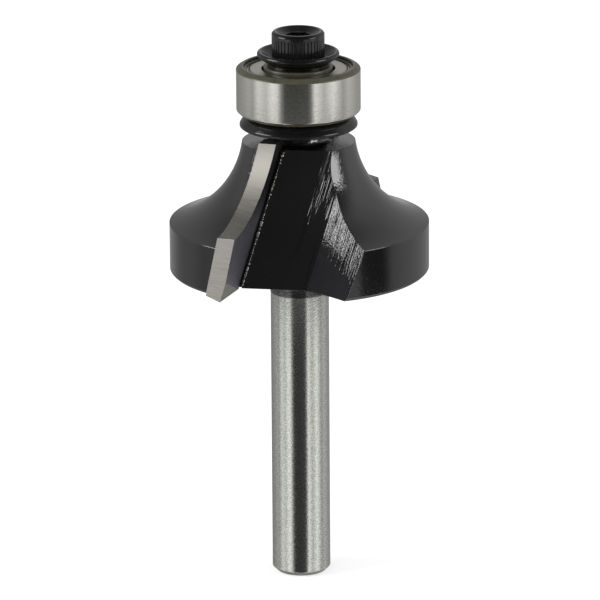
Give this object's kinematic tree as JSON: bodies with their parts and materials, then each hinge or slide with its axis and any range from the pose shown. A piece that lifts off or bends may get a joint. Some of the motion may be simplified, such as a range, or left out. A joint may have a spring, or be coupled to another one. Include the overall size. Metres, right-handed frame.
{
  "type": "router bit",
  "caption": "Rounding-over router bit with brazed carbide tips on a black head, a plain round shank and a guide bearing held by a socket screw.",
  "frame": {"origin": "centre of the shank's end face, which the bit stands on", "axes": "+Z along the spin axis towards the bearing; the front cutting tip lies towards -Y"},
  "size_m": [0.0266, 0.0256, 0.0576],
  "materials": {
    "coated_steel": "black coated head on a bright ground shank",
    "carbide": "ground carbide",
    "black_oxide_steel": "black oxide, satin",
    "bearing_steel": "fine ground",
    "pressed_steel": "pressed sheet",
    "spring_steel": "drawn wire"
  },
  "bodies": {
    "bit": {"bit_body": "coated_steel", "carbide_tip_front": "carbide", "carbide_tip_rear": "carbide", "dust_washer": "black_oxide_steel", "bearing_inner_ring": "bearing_steel", "retaining_washer": "black_oxide_steel", "bearing_screw": "black_oxide_steel"},
    "outer_race": {"bearing_outer_ring": "bearing_steel", "shield_upper": "pressed_steel", "shield_lower": "pressed_steel", "snap_ring_upper": "spring_steel", "snap_ring_lower": "spring_steel"},
    "ball_cage": {"cage_upper": "pressed_steel", "cage_lower": "pressed_steel", "cage_rivets": "pressed_steel"},
    "ball_1": {"ball_1": "bearing_steel"},
    "ball_2": {"ball_2": "bearing_steel"},
    "ball_3": {"ball_3": "bearing_steel"},
    "ball_4": {"ball_4": "bearing_steel"},
    "ball_5": {"ball_5": "bearing_steel"},
    "ball_6": {"ball_6": "bearing_steel"},
    "ball_7": {"ball_7": "bearing_steel"}
  },
  "joints": [
    {"name": "outer_race_spin", "type": "hinge", "parent": "bit", "child": "outer_race", "pos_m": [0, 0, 0.05149], "axis": [0, 0, 1], "continuous": true},
    {"name": "cage_spin", "type": "hinge", "parent": "bit", "child": "ball_cage", "pos_m": [0, 0, 0.05149], "axis": [0, 0, 1], "continuous": true},
    {"name": "ball_1_spin", "type": "hinge", "parent": "ball_cage", "child": "ball_1", "pos_m": [0.00437, 0, 0.05149], "axis": [0, 0, 1], "continuous": true},
    {"name": "ball_2_spin", "type": "hinge", "parent": "ball_cage", "child": "ball_2", "pos_m": [0.00272, 0.00341, 0.05149], "axis": [0, 0, 1], "continuous": true},
    {"name": "ball_3_spin", "type": "hinge", "parent": "ball_cage", "child": "ball_3", "pos_m": [-0.00097, 0.00426, 0.05149], "axis": [0, 0, 1], "continuous": true},
    {"name": "ball_4_spin", "type": "hinge", "parent": "ball_cage", "child": "ball_4", "pos_m": [-0.00393, 0.00189, 0.05149], "axis": [0, 0, 1], "continuous": true},
    {"name": "ball_5_spin", "type": "hinge", "parent": "ball_cage", "child": "ball_5", "pos_m": [-0.00393, -0.00189, 0.05149], "axis": [0, 0, 1], "continuous": true},
    {"name": "ball_6_spin", "type": "hinge", "parent": "ball_cage", "child": "ball_6", "pos_m": [-0.00097, -0.00426, 0.05149], "axis": [0, 0, 1], "continuous": true},
    {"name": "ball_7_spin", "type": "hinge", "parent": "ball_cage", "child": "ball_7", "pos_m": [0.00272, -0.00341, 0.05149], "axis": [0, 0, 1], "continuous": true}
  ],
  "couplings": [
    {"joint": "cage_spin", "follows": "outer_race_spin", "ratio": 0.63635},
    {"joint": "ball_1_spin", "follows": "outer_race_spin", "ratio": 1.6972},
    {"joint": "ball_2_spin", "follows": "outer_race_spin", "ratio": 1.6972},
    {"joint": "ball_3_spin", "follows": "outer_race_spin", "ratio": 1.6972},
    {"joint": "ball_4_spin", "follows": "outer_race_spin", "ratio": 1.6972},
    {"joint": "ball_5_spin", "follows": "outer_race_spin", "ratio": 1.6972},
    {"joint": "ball_6_spin", "follows": "outer_race_spin", "ratio": 1.6972},
    {"joint": "ball_7_spin", "follows": "outer_race_spin", "ratio": 1.6972}
  ]
}
